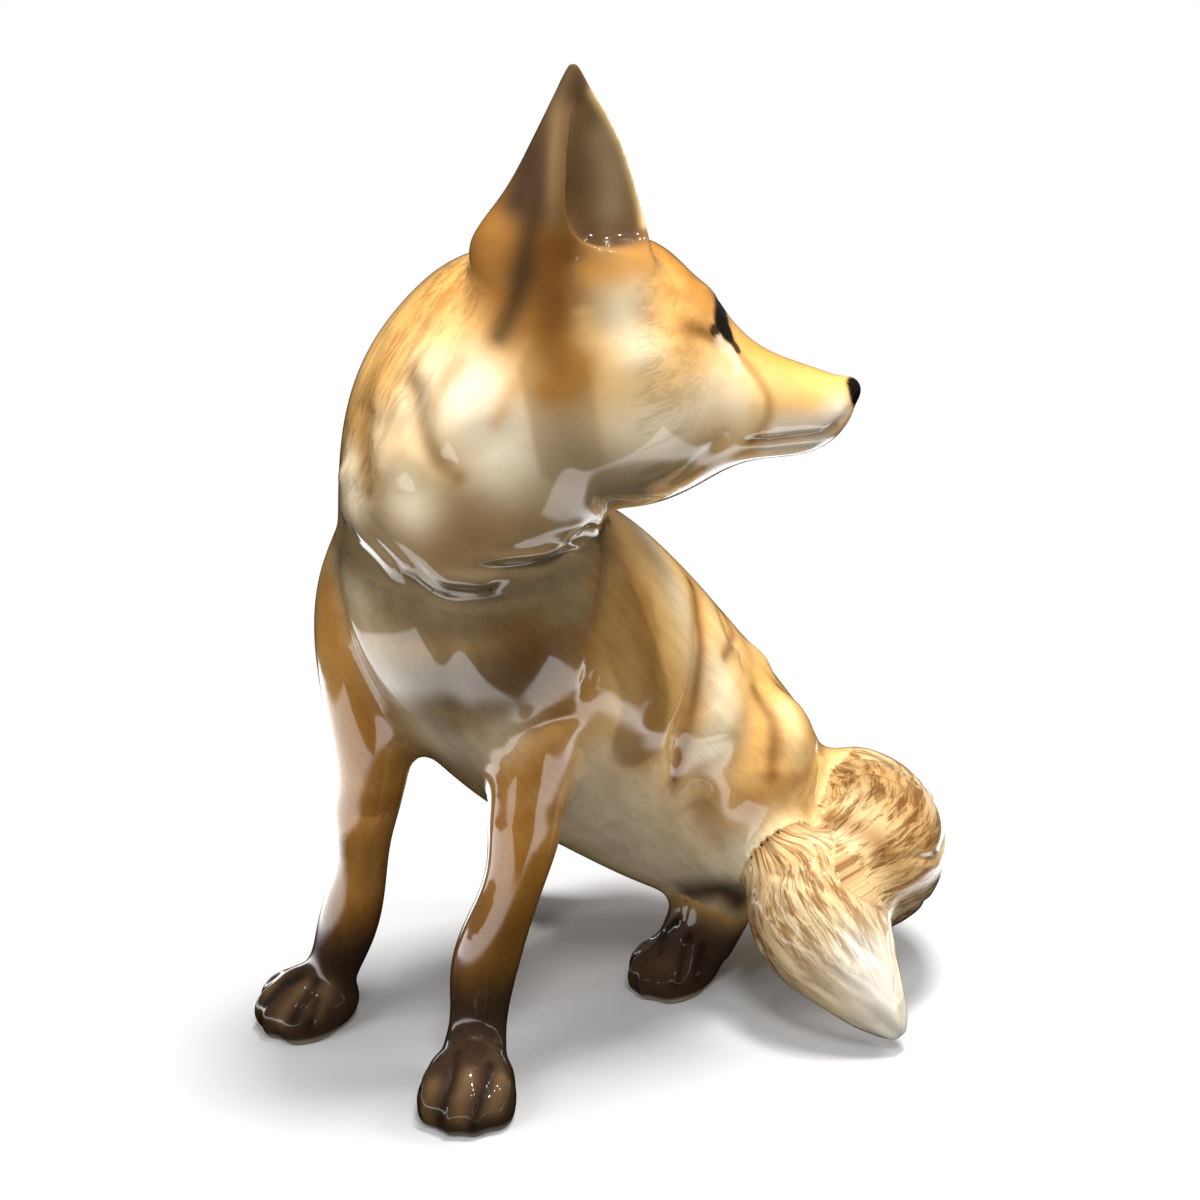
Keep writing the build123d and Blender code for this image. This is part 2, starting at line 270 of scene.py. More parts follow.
def near_path(points, path):
    """For each point: its distance to a path, the share of the path passed there, and the nearest place."""
    legs = path[1:] - path[:-1]
    lengths = np.maximum(np.linalg.norm(legs, axis=1), SHORTEST_LEG)
    starts = np.concatenate([[0], np.cumsum(lengths)])
    gaps = np.full(len(points), np.inf)
    shares = np.zeros(len(points))
    places = np.zeros((len(points), 3))
    for start, leg, length, before in zip(path[:-1], legs, lengths, starts):
        along = np.clip((points - start) @ leg / length ** 2, 0, 1)
        place = start + along[:, None] * leg
        gap = np.linalg.norm(points - place, axis=1)
        closer = gap < gaps
        gaps[closer] = gap[closer]
        shares[closer] = (before + along[closer] * length) / starts[-1]
        places[closer] = place[closer]
    return gaps, shares, places


def curved(path, count):
    """The path as a smooth curve through its points."""
    ends = np.concatenate([[2 * path[0] - path[1]], path, [2 * path[-1] - path[-2]]])
    curve = []
    for step in np.linspace(0, len(path) - 1, count):
        leg = min(int(step), len(path) - 2)
        t = step - leg
        a, b, c, d = ends[leg:leg + 4]
        curve.append(b + 0.5 * t * (c - a + t * (2 * a - 5 * b + 4 * c - d + t * (3 * (b - c) + d - a))))
    return np.array(curve)


def close_to(points, path, reach):
    """Which points lie within reach of the box round a path."""
    return np.all((points > path.min(axis=0) - reach) & (points < path.max(axis=0) + reach), axis=1)


def bell(distance, width):
    return np.exp(-((distance / width) ** 2))


def ramp(value, start, end):
    """0 before start, 1 after end, and smooth between."""
    share = np.clip((value - start) / (end - start), 0, 1)
    return share * share * (3 - 2 * share)


def fading(share, end):
    """1 in the middle of a path, and 0 at both ends, over a share of the path."""
    return ramp(share, 0, end) * ramp(share, 1, 1 - end)


clay = Clay(figure)
clay.remesh()
clay.close_slits(SLIT_REACH)


# Which casting each place on the clay belongs to

BOX_MARGIN = 3.0


def nearest_casting():
    gaps = np.full((len(CASTINGS), len(clay.points)), np.inf)
    for row, name in zip(gaps, CASTINGS):
        tree = BVHTree.FromObject(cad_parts[name], bpy.context.evaluated_depsgraph_get())
        low, high = [to_drawing(corner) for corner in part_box(name)]
        close = np.all((clay.points > low - BOX_MARGIN) & (clay.points < high + BOX_MARGIN), axis=1)
        row[close] = [tree.find_nearest(to_scene(place))[3] for place in clay.points[close]]
    return np.argmin(gaps, axis=0)


casting_of = nearest_casting()
EARS = ("left_ear", "right_ear")
LEGS = ("left_foreleg", "right_foreleg")
FEET = ("left_hind_foot", "right_hind_foot")


def belongs(*names):
    return np.isin(casting_of, [CASTINGS.index(name) for name in names])


# Rounding of the joints: strong on the body, light on toes, ears and the face's tip

FIRST_SMOOTHING = (1.0, 4)     # weight and rounds, for the steps of the mesh
LAST_SMOOTHING = (0.6, 2)      # the same, after the carving
JOINT_ROUNDS = 60
EAR_SPARED = 0.75              # share of the rounding that the ears' tops are spared
EAR_HEIGHTS = (28, 42)         # above the skull's centre, where that starts and where it is full
TOE_ROUNDING = 0.15
SHIN_ROUNDING = 0.65           # added to it above the toes
SHIN_HEIGHTS = (14, 26)        # above the floor
MUZZLE_SPARED = 0.85
MUZZLE_REACHES = (14, 30)      # before the skull's centre


def rounding_weights():
    above = (clay.points - SKULL_CENTRE) @ CROWN
    weights = np.where(belongs(*EARS), 1 - EAR_SPARED * ramp(above, *EAR_HEIGHTS), 1)
    shin = ramp(clay.points[:, 2], *SHIN_HEIGHTS)
    weights = np.where(belongs(*LEGS, *FEET), TOE_ROUNDING + SHIN_ROUNDING * shin, weights)
    ahead = (clay.points - SKULL_CENTRE) @ FACE
    muzzle = belongs("head") * ramp(ahead, *MUZZLE_REACHES)
    return weights * (1 - MUZZLE_SPARED * muzzle)


clay.smooth_all(*FIRST_SMOOTHING)
clay.smooth(rounding_weights(), JOINT_ROUNDS)


# Modelling: pulls move clay on both sides of the head, by millimetres right and up in the picture

Pull = namedtuple("Pull", "name pixel right up radius")

PULLS = [
    Pull("back of the ear's base", (499, 252), -7.0, 0.0, 12.0),
    Pull("front edge of the ear", (612, 135), 1.6, 0.0, 14.0),
    Pull("forehead", (690, 262), 0.0, -1.0, 9.0),
    Pull("rim of the ear's cup", (617, 254), 0.0, 1.5, 7.0),
    Pull("nape", (448, 286), -0.6, 1.8, 12.0),
]
FOOT_SQUEEZE = 0.22    # the hidden hind foot is drawn in, so that the foreleg before it covers it
SQUEEZE_HEIGHTS = (30, 18)     # above the floor, where that starts and where it is full


def pull():
    view = camera.matrix_world.to_3x3()
    for row in PULLS:
        place = clay.traced([row.pixel])
        move = np.array(view @ Vector((row.right, row.up, 0)))[None, :]
        other_place = mirrored(place, SKULL_CENTRE, FACE_RIGHT)
        other_move = mirrored(move, 0, FACE_RIGHT)
        change = np.zeros_like(clay.points)
        for centre, way in ((place, move), (other_place, other_move)):
            gap = np.linalg.norm(clay.points - centre, axis=1)
            change += bell(gap, row.radius)[:, None] * way
        clay.shift(change)


def squeeze_foot():
    right = np.array(camera.matrix_world.to_3x3() @ Vector((1, 0, 0)))
    foot = belongs("right_hind_foot")
    across = (clay.points - clay.points[foot].mean(axis=0)) @ right
    share = np.where(foot, FOOT_SQUEEZE * ramp(clay.points[:, 2], *SQUEEZE_HEIGHTS), 0)
    clay.shift(-(share * across)[:, None] * right)


# Clay added in hollows that the castings leave between forms, and smoothed over

Fill = namedtuple("Fill", "name pixels width rise rounds")

FILLS = [
    Fill("between cheek and neck", [(556, 345), (557, 400), (560, 450), (575, 485)], 9.0, 3.5, 120),
    Fill("below the ear's cup", [(596, 262), (622, 266), (646, 258), (648, 284)], 7.0, 0.5, 120),
    Fill("above the temple", [(596, 300), (620, 306), (645, 300)], 6.0, 1.5, 100),
]
FILL_BLEND = 1.6       # how far a fill is smoothed over, in its widths


def fill():
    for row in FILLS:
        gap = near_path(clay.points, clay.traced(row.pixels))[0]
        clay.push(row.rise * bell(gap, row.width))
        clay.smooth(bell(gap, FILL_BLEND * row.width), row.rounds)


# Carving. Each path is traced on the photograph and laid on the clay.

Cut = namedtuple("Cut", "name pixels width depth mirror")

# Paths that are carved or combed, and painted too
NAPE = [(450, 275), (405, 325), (372, 385), (350, 440)]
LEFT_CLEFT = [(370, 398), (364, 440), (369, 490)]
MIDDLE_CLEFT = [(412, 372), (420, 407), (428, 440), (442, 463), (458, 478)]
FLANK_FOLD = [(694, 585), (701, 640), (697, 681), (683, 730), (673, 785)]
TEAR_LINE = [(737, 350), (757, 378), (768, 400), (767, 422), (752, 440)]

GROOVES = [
    Cut("left cleft of the neck", LEFT_CLEFT, 3.2, 1.5, None),
    Cut("middle cleft of the neck", MIDDLE_CLEFT, 3.2, 1.8, None),
    Cut("nape", [(430, 315), (405, 352), (390, 395)], 5.0, 0.7, None),
    Cut("edge of the nape", [(392, 322), (366, 372), (350, 425)], 4.5, 0.6, None),
    Cut("middle of the breast", [(452, 612), (450, 660), (458, 710), (470, 750)], 5.0, 1.0, None),
    Cut(
        "fold before the left arm",
        [(606, 524), (612, 560), (607, 600), (597, 640), (588, 690), (576, 716)], 3.4, 1.8, None,
    ),
    Cut("top of the left leg", [(576, 716), (548, 726), (515, 742), (498, 768)], 3.2, 1.4, None),
    Cut(
        "fold before the right arm",
        [(336, 560), (341, 610), (356, 660), (384, 712), (410, 748)], 3.0, 1.4, None,
    ),
    Cut("flank", FLANK_FOLD, 4.2, 2.0, BODY_RIGHT),
    Cut("ribs", [(648, 575), (664, 625), (664, 680), (650, 735)], 5.5, 1.1, BODY_RIGHT),
    Cut("hip", [(722, 612), (730, 632), (737, 648)], 3.6, 1.2, BODY_RIGHT),
    Cut("below the hip", [(738, 655), (756, 672), (768, 690)], 3.6, 1.0, BODY_RIGHT),
    Cut("haunch", [(766, 690), (772, 718), (777, 745), (773, 775)], 4.5, 1.3, BODY_RIGHT),
    Cut("thigh", [(690, 800), (705, 835), (722, 862)], 4.5, 1.0, BODY_RIGHT),
    Cut("tear line", TEAR_LINE, 1.6, 0.45, FACE_RIGHT),
    Cut(
        "mouth",
        [(746, 441), (769, 441), (797, 437), (822, 434), (838, 424), (849, 410)], 1.2, 1.1, FACE_RIGHT,
    ),
    Cut("jaw", [(721, 424), (722, 440), (700, 460), (664, 488)], 3.0, 0.7, FACE_RIGHT),
    Cut("lower lid", [(694, 330), (714, 342), (730, 352)], 1.8, 0.7, FACE_RIGHT),
    Cut("slit below the ear", [(572, 250), (576, 285), (583, 318)], 2.0, 1.5, FACE_RIGHT),
]
TOE_WIDTH = 1.5
TOE_DEPTH = 1.0
TOE_LINES = [
    [(427, 1064), (418, 1092), (414, 1126)], [(459, 1052), (452, 1080), (444, 1110), (440, 1132)],
    [(491, 1064), (486, 1092), (477, 1112), (473, 1126)],
    [(302, 976), (281, 987), (265, 1007)], [(317, 981), (305, 1001), (293, 1020)],
    [(318, 1000), (309, 1030)],
    [(679, 919), (664, 936), (652, 960)], [(690, 935), (681, 962), (676, 984)],
    [(703, 945), (698, 978)],
]
GROOVES += [Cut("toes", line, TOE_WIDTH, TOE_DEPTH, None) for line in TOE_LINES]
RIDGES = [
    Cut("brow", [(702, 292), (716, 291), (726, 295)], 4.0, 0.7, FACE_RIGHT),
    Cut("tear fold", [(717, 339), (730, 349), (737, 360), (741, 372)], 1.7, 0.45, FACE_RIGHT),
    Cut("cheek", [(640, 300), (650, 350), (668, 390)], 9.0, 1.2, FACE_RIGHT),
    Cut("hip bone", [(756, 650), (764, 670)], 6.5, 1.6, BODY_RIGHT),
    Cut("front of the haunch", [(714, 672), (724, 695), (730, 730), (728, 770)], 11.0, 2.4, BODY_RIGHT),
    Cut("back of the haunch", [(786, 705), (796, 735), (800, 765)], 7.0, 1.5, BODY_RIGHT),
    Cut("left lock of the neck", [(346, 455), (350, 495)], 6.0, 1.8, None),
    Cut("middle lock of the neck", [(392, 420), (398, 460), (408, 500)], 9.0, 2.2, None),
    Cut("right lock of the neck", [(450, 380), (480, 420), (500, 450)], 13.0, 1.8, None),
    Cut(
        "edge of the ear",
        [(568, 85), (556, 149), (554, 195), (552, 246), (553, 290)], 2.4, 1.0, FACE_RIGHT,
    ),
]
MIRROR_REACH = 8.0     # a mirrored path that lies farther from the surface is left out
CUT_REACH = 3          # how far a cut is felt, in its widths
CUT_END_DEPTH = 0.25   # share of a cut's depth that is left at its ends
GROOVE_END = 0.2       # share of a groove's path over which it fades at each end
RIDGE_END = 0.5


def both_sides(path, mirror):
    """The path, and its mirror image where the form is on both sides."""
    if mirror is None:
        return [path]
    centre = SKULL_CENTRE if mirror is FACE_RIGHT else BODY_MIDDLE
    image = mirrored(path, centre, mirror)
    settled = clay.settled(image)
    moved = np.linalg.norm(settled - image, axis=1).max()
    return [path, settled] if moved < MIRROR_REACH else [path]


def carve():
    change = np.zeros(len(clay.points))
    for cuts, way, end in ((GROOVES, -1, GROOVE_END), (RIDGES, 1, RIDGE_END)):
        for cut in cuts:
            for path in both_sides(clay.traced(cut.pixels), cut.mirror):
                close = close_to(clay.points, path, CUT_REACH * cut.width)
                gap, share, _ = near_path(clay.points[close], path)
                fade = CUT_END_DEPTH + (1 - CUT_END_DEPTH) * fading(share, end)
                change[close] += way * cut.depth * bell(gap, cut.width) * fade
    clay.push(change)


# The ruff's lower edge stands above the breast

RUFF_EDGE = [
    (331, 492), (352, 530), (388, 562), (425, 586), (455, 592),
    (500, 578), (545, 560), (580, 538), (606, 516),
]
RUFF_RISE = 1.3
RUFF_FADE = 16.0
RUFF_STEP = 2.2
RUFF_END = 0.1         # share of the edge over which it fades at each end
CURVE_STEPS = 60
RUFF_WAVES = [(1.0, 17, 0.4), (0.9, 29, 1.9), (0.5, 53, 0.0)]    # millimetres, radians along the edge, start
TUFTS = 22             # short locks along the edge
TUFT_MIDDLES = (0.3, 0.95)     # shares of the edge between which their middles lie
TUFT_HALF_LENGTH = 0.16        # share of the edge
TUFT_SPREAD = 6.0      # millimetres above and below it
TUFT_WIDTH = 1.3
TUFT_SLANT = 4         # how far a lock falls along its length, in its widths
TUFT_FULL = 0.3        # share of its half length up to which a lock is full
TUFT_DEPTH = 0.8
TUFT_DEPTHS = (0.4, 1.0)       # shares of that depth
TUFT_REACHES = (12, 8)         # distance from the edge at which locks start, and at which they are full


def carve_ruff():
    gap, share, nearest = near_path(clay.points, curved(clay.traced(RUFF_EDGE), CURVE_STEPS))
    scallops = sum(size * np.sin(share * radians + start) for size, radians, start in RUFF_WAVES)
    above = (clay.points - nearest)[:, 2]
    step = np.tanh((above - scallops) / RUFF_STEP)
    rise = RUFF_RISE * np.exp(-gap / RUFF_FADE) * step * fading(share, RUFF_END)
    for _ in range(TUFTS):
        middle = random.uniform(*TUFT_MIDDLES)
        level = random.uniform(-TUFT_SPREAD, TUFT_SPREAD)
        depth = TUFT_DEPTH * random.uniform(*TUFT_DEPTHS)
        passed = (share - middle) / TUFT_HALF_LENGTH
        aside = above - level + TUFT_SLANT * TUFT_WIDTH * passed
        fade = ramp(passed, -1, -TUFT_FULL) * ramp(passed, 1, TUFT_FULL) * ramp(gap, *TUFT_REACHES)
        rise -= depth * bell(aside, TUFT_WIDTH) * fade
    clay.push(np.where(belongs("head", "torso"), rise, 0))


# Locks of the tail: grooves that follow its loop and its brush

TAIL_LOOP = [(20, 110, 49), (27, 111, 48), (37, 107, 45), (48, 97, 43), (54, 82, 42), (55, 69, 41)]
TAIL_BRUSH = [(40, 57, 55), (47, 61, 46), (62, 62, 30), (75, 65, 16), (83, 68, 7), (86, 69, 3.5)]
TAIL_UPRIGHT = (0.3, 0.2, 1.0)     # a direction in which the tail never runs, from which angles are taken
TAIL_LOCKS = 64        # on each of the two lengths
LOCK_WIDTH = 1.5
LOCK_DEPTH = 0.9
LOCK_DEPTHS = (0.4, 1.0)       # shares of that depth
LOCK_DEEPEST = 1.6             # where locks cross, in depths
LOCK_STARTS = (-0.05, 0.85)    # shares of the tail's length between which they start
LOCK_LENGTHS = (0.15, 0.35)
LOCK_FULL = (0.3, 0.6)         # shares of a lock's own length between which it is full
LOCK_WAVE = 0.35               # how far a lock winds round the tail, in radians


def tail_frame(line):
    """For the tail's points: gap to a line, share of it passed, and the angle round it."""
    gap, share, place = near_path(clay.points, line)
    steps = np.linspace(0, 1, len(line))
    way = np.gradient(line, axis=0)
    way /= np.linalg.norm(way, axis=1, keepdims=True)
    along = np.stack([np.interp(share, steps, way[:, axis]) for axis in range(3)], axis=1)
    first = np.cross(along, TAIL_UPRIGHT)
    first /= np.linalg.norm(first, axis=1, keepdims=True)
    second = np.cross(along, first)
    spoke = clay.points - place
    return gap, share, np.arctan2((spoke * second).sum(axis=1), (spoke * first).sum(axis=1))


def tail_lengths():
    """The loop's and the brush's frames, and which points lie on the brush."""
    loop = tail_frame(curved(np.array(TAIL_LOOP, float), CURVE_STEPS))
    brush = tail_frame(curved(np.array(TAIL_BRUSH, float), CURVE_STEPS))
    return loop, brush, belongs("tail") & (brush[0] < loop[0])


def carve_tail():
    loop, brush, on_brush = tail_lengths()
    change = np.zeros(len(clay.points))
    for (gap, share, angle), chosen in ((loop, belongs("tail") & ~on_brush), (brush, on_brush)):
        for _ in range(TAIL_LOCKS):
            start = random.uniform(*LOCK_STARTS)
            length = random.uniform(*LOCK_LENGTHS)
            heading = random.uniform(-math.pi, math.pi)
            wind = random.gauss(0, LOCK_WAVE)
            depth = LOCK_DEPTH * random.uniform(*LOCK_DEPTHS)
            passed = (share - start) / length
            turn = angle - heading - wind * passed
            aside = np.abs(np.arctan2(np.sin(turn), np.cos(turn))) * gap
            fade = ramp(passed, 0, LOCK_FULL[0]) * ramp(passed, 1, LOCK_FULL[1])
            change -= np.where(chosen, depth * bell(aside, LOCK_WIDTH) * fade, 0)
    clay.push(np.maximum(change, -LOCK_DEEPEST * LOCK_DEPTH))


pull()
squeeze_foot()
fill()
carve_ruff()
carve()
carve_tail()
clay.smooth_all(*LAST_SMOOTHING)


# Airbrush colours, as they look on a screen

def paint(red, green, blue):
    """Linear colour of a screen colour."""
    share = np.array([red, green, blue]) / 255
    return np.where(share < 0.04045, share / 12.92, ((share + 0.055) / 1.055) ** 2.4)


TAN = paint(226, 182, 112)
PALE_TAN = paint(236, 208, 154)
TAIL_CREAM = paint(232, 210, 168)
TAIL_TAN = paint(172, 142, 94)
GOLD = paint(200, 146, 74)
AMBER = paint(158, 108, 42)
BROWN = paint(120, 78, 32)
DARK = paint(60, 44, 32)
BLACK = paint(20, 15, 12)
CREAM = paint(236, 222, 190)
WHITE = paint(242, 238, 228)
GREIGE = paint(206, 192, 164)
TAUPE = paint(150, 130, 100)
# Painted shade: the chest's greige, darkened as it looks in the head's shade
CHEST_IN_SHADE = paint(112, 97, 73)
# Painted shade and dark reflection for the middle of the breast
CHEST_SHADE_AND_REFLECTION = paint(84, 56, 22)
# Painted shade: the throat's cream, darkened as it looks in shade
THROAT_IN_SHADE = paint(124, 108, 82)
OCHRE = paint(180, 126, 60)
SHADE = paint(128, 98, 56)
EAR_EDGE = paint(120, 96, 64)
EAR_INSIDE = paint(104, 82, 54)
TOE = paint(112, 88, 60)
LEG_BROWN = paint(122, 82, 32)
EAR_BROWN = paint(96, 66, 34)

BASE_COATS = {
    "torso": TAN, "head": TAN, "left_ear": EAR_BROWN, "right_ear": EAR_BROWN, "left_foreleg": AMBER,
    "right_foreleg": AMBER, "left_hind_foot": DARK, "right_hind_foot": DARK, "tail": TAIL_CREAM,
}

# A spray fades with its radius, in millimetres; a crisp one has an edge there
Spray = namedtuple("Spray", "name colour pixels radius strength mirror crisp", defaults=(None, False))
SPRAY_STEPS = 16
SPRAY_REACH = 2.4              # how far a spray is felt, in radii
CRISP_EDGE = (1.15, 0.85)      # radii between which a crisp spray ends
THIN_SIDE = (-0.1, 0.4)        # how far a thin casting's surface has to face the spray

BODY_SPRAYS = [
    # Painted shade: the breast in the darkened chest colour
    Spray(
        "breast", CHEST_IN_SHADE,
        [(360, 580), (450, 610), (560, 590), (560, 650), (430, 690), (400, 700), (470, 760)], 21, 1.0,
    ),
    Spray(
        "top of the breast", CHEST_IN_SHADE,
        [(345, 548), (380, 570), (420, 585), (470, 592), (520, 588), (600, 555)], 9, 0.95,
    ),
    Spray("left of the breast", GREIGE, [(352, 570), (362, 620), (385, 680), (425, 735)], 8, 0.6),
    # Painted shade and dark reflection in the middle of the breast
    Spray("middle of the breast", CHEST_SHADE_AND_REFLECTION, [(508, 605), (525, 640), (530, 685), (500, 700)], 11, 0.85),
    Spray("foot of the breast", GREIGE, [(430, 740), (470, 755), (510, 735)], 9, 0.7),
    Spray("belly", CREAM, [(575, 800), (620, 840), (680, 870), (735, 865)], 19, 0.95, BODY_RIGHT),
    Spray("lower flank", CREAM, [(600, 770), (645, 800), (690, 830)], 11, 0.45, BODY_RIGHT),
    Spray("ribs", AMBER, [(630, 590), (648, 640), (655, 695), (645, 745)], 8, 0.75, BODY_RIGHT),
    # Painted light: the back paler, and palest on top, where the lamp falls on it
    Spray("back", PALE_TAN, [(630, 520), (655, 550), (678, 592), (690, 630)], 9, 0.8, BODY_RIGHT),
    Spray("lit back", CREAM, [(640, 530), (662, 562), (680, 600)], 7, 0.7, BODY_RIGHT),
    Spray("hips", PALE_TAN, [(706, 600), (722, 635), (750, 660)], 6, 0.6, BODY_RIGHT),
    Spray("back dapples", GOLD, [(640, 545), (672, 575), (690, 606)], 4, 0.25, BODY_RIGHT),
    Spray("hip", GOLD, [(750, 660), (775, 690), (800, 735)], 7, 0.6, BODY_RIGHT),
    Spray("haunch", GOLD, [(745, 720), (752, 760), (730, 800)], 9, 0.5, BODY_RIGHT),
    # Cream on the haunch's swell, partly its colour and partly painted light
    Spray("lit swell of the haunch", CREAM, [(705, 668), (722, 690), (722, 725), (706, 755)], 9, 0.9, BODY_RIGHT),
    Spray("back of the haunch", PALE_TAN, [(788, 712), (798, 740), (802, 765)], 6, 0.85, BODY_RIGHT),
    Spray("above the tail", AMBER, [(752, 802), (778, 786), (806, 776)], 6, 0.65, BODY_RIGHT),
    Spray("shaded ribs", SHADE, [(604, 578), (624, 622), (646, 690), (640, 735)], 10, 0.6, None, True),
    # Painted shade: darker along the carved folds of the flank, hip and haunch
    Spray("flank fold", AMBER, FLANK_FOLD, 4.5, 0.6, BODY_RIGHT),
    Spray(
        "middle of the flank fold", BROWN,
        [(690, 582), (700, 640), (696, 685), (674, 780)], 1.8, 0.8, BODY_RIGHT,
    ),
    Spray("hip fold", BROWN, [(722, 612), (732, 634), (724, 656)], 2.4, 0.75),
    Spray("haunch fold", BROWN, [(754, 690), (769, 714), (774, 742), (772, 775)], 3.0, 0.75, BODY_RIGHT),
    # Painted shade: darker amber down the front of the thigh
    Spray("thigh", AMBER, [(700, 770), (706, 810), (722, 845)], 5, 0.5, BODY_RIGHT),
    Spray("back of the thigh", CREAM, [(745, 850), (738, 880)], 6, 0.6, BODY_RIGHT),
    Spray("hock", DARK, [(690, 893), (720, 890), (738, 900)], 6, 0.95, BODY_RIGHT),
]
LEG_SPRAYS = [
    Spray("left arm", AMBER, [(590, 650), (575, 700), (545, 745)], 8, 0.6),
    Spray("left leg's top", AMBER, [(500, 790), (530, 780), (560, 770)], 9, 0.9),
    Spray("left leg's shaft", AMBER, [(503, 815), (535, 822), (562, 812)], 8, 0.95),
    Spray("right leg's shaft", AMBER, [(338, 800), (368, 806), (396, 800)], 8, 0.95),
    Spray("right arm", AMBER, [(325, 590), (330, 630), (345, 680), (368, 725)], 8, 0.8),
    Spray("right leg's top", AMBER, [(350, 740), (390, 770)], 10, 0.9),
]

HEAD_SPRAYS = [
    Spray("nape", GOLD, NAPE, 7, 0.55),
    # Painted shade: the throat in its darkened colour
    Spray(
        "throat", THROAT_IN_SHADE,
        [(345, 520), (400, 540), (460, 545), (520, 530), (580, 505), (620, 490)], 15, 1.0,
    ),
    Spray("throat shade", SHADE, [(420, 520), (480, 512), (550, 496)], 13, 1.0),
    Spray("edge of the ruff", TAUPE, RUFF_EDGE, 6, 0.85),
    # Painted shade: the darkened chest colour under the ruff's edge
    Spray(
        "below the ruff", CHEST_IN_SHADE,
        [(342, 550), (380, 573), (420, 586), (470, 592), (520, 585), (560, 573)], 6, 0.95,
    ),
    Spray("cheek ruff", CREAM, [(440, 400), (475, 420), (510, 450)], 13, 0.95),
    Spray("lit ruff", WHITE, [(474, 380), (494, 412), (514, 450)], 8, 0.4),
    Spray("ruff's streaks", GOLD, [(516, 384), (508, 402), (496, 422)], 2.4, 0.5),
    Spray("ruff's left streaks", GOLD, [(458, 362), (444, 384), (434, 406)], 2.6, 0.5),
    Spray("far cheek ruff", CREAM, [(600, 470), (640, 450)], 12, 0.5, FACE_RIGHT),
    Spray("left lock", CREAM, [(346, 465), (352, 500)], 6, 0.9),
    Spray("middle lock", CREAM, [(390, 430), (402, 470), (410, 505)], 8, 0.9),
    # Painted shade: brown in the carved clefts of the neck
    Spray("left cleft", BROWN, LEFT_CLEFT, 2.6, 0.6),
    Spray("middle cleft", BROWN, MIDDLE_CLEFT, 2.6, 0.6),
    Spray("left of the ruff", GOLD, [(395, 365), (388, 410), (398, 450)], 4.5, 0.4),
    Spray(
        "shade below the ear", SHADE,
        [(553, 372), (560, 400), (566, 435), (570, 455)], 8.5, 0.45, FACE_RIGHT, True,
    ),
    # Painted shade: taupe behind the jaw and under the cheek
    Spray("shade behind the jaw", TAUPE, [(566, 435), (580, 470), (600, 478)], 10, 0.7, FACE_RIGHT),
    Spray("shade under the cheek", TAUPE, [(596, 466), (635, 460), (680, 444)], 7, 0.35, FACE_RIGHT),
    Spray("below the ear", BROWN, [(540, 325), (556, 350), (566, 368)], 9, 0.9, FACE_RIGHT),
    Spray("below the ear's foot", AMBER, [(582, 362), (570, 385), (545, 390)], 4, 0.7, FACE_RIGHT),
    Spray("temple", CREAM, [(620, 290), (628, 325), (638, 350)], 7, 0.95, FACE_RIGHT),
    Spray("below the ear's cup", GOLD, [(588, 272), (618, 268), (645, 252)], 6.0, 0.85, FACE_RIGHT),
    Spray("lower cheek", CREAM, [(640, 425), (680, 420), (715, 395), (745, 410)], 9, 0.8, FACE_RIGHT),
    Spray("jaw shade", TAUPE, [(600, 490), (650, 475), (700, 455)], 6.5, 0.6, FACE_RIGHT),
    Spray("forehead", OCHRE, [(655, 245), (688, 275), (708, 295)], 10, 1.0, FACE_RIGHT),
    Spray("brow", AMBER, [(668, 290), (692, 300), (706, 310)], 4, 0.5, FACE_RIGHT),
    Spray("cheek marks", AMBER, [(655, 320), (680, 330), (690, 350)], 5, 0.45, FACE_RIGHT),
    Spray("behind the eye", BROWN, [(690, 328), (704, 333), (714, 336)], 3.6, 0.85, FACE_RIGHT),
    Spray("muzzle top", GOLD, [(748, 346), (790, 358), (832, 373)], 7, 0.9, FACE_RIGHT),
    Spray("muzzle side", TAN, [(770, 405), (805, 410), (838, 402)], 6.5, 0.7, FACE_RIGHT),
    Spray("lips", WHITE, [(780, 428), (815, 425), (840, 412)], 4, 0.7, FACE_RIGHT),
    Spray("chin", WHITE, [(770, 452), (800, 449), (822, 442)], 4, 0.8, FACE_RIGHT),
    # Painted highlight: cream along the tear fold's ridge
    Spray("tear fold", CREAM, [(720, 341), (733, 353), (739, 370)], 1.8, 0.9, FACE_RIGHT),
    Spray("tear line", AMBER, TEAR_LINE, 1.5, 0.55, FACE_RIGHT),
    Spray(
        "mouth", BROWN,
        [(749, 441), (769, 440), (797, 437), (822, 434), (836, 426)], 1.1, 0.7, FACE_RIGHT,
    ),
    Spray("liner", DARK, [(719, 296), (722, 318), (728, 336)], 3.4, 0.6, FACE_RIGHT),
    Spray("inner corner of the eye", BLACK, [(728, 334), (737, 349)], 1.4, 0.9, FACE_RIGHT, True),
    Spray("outer corner of the eye", BLACK, [(714, 331), (720, 326)], 1.5, 0.9, FACE_RIGHT, True),
    Spray("eye", BLACK, [(720, 304), (722, 318), (727, 332)], 3.0, 1.0, FACE_RIGHT, True),
    Spray("nose", BLACK, [(857, 386), (858, 395)], 3.3, 1.0, FACE_RIGHT, True),
]

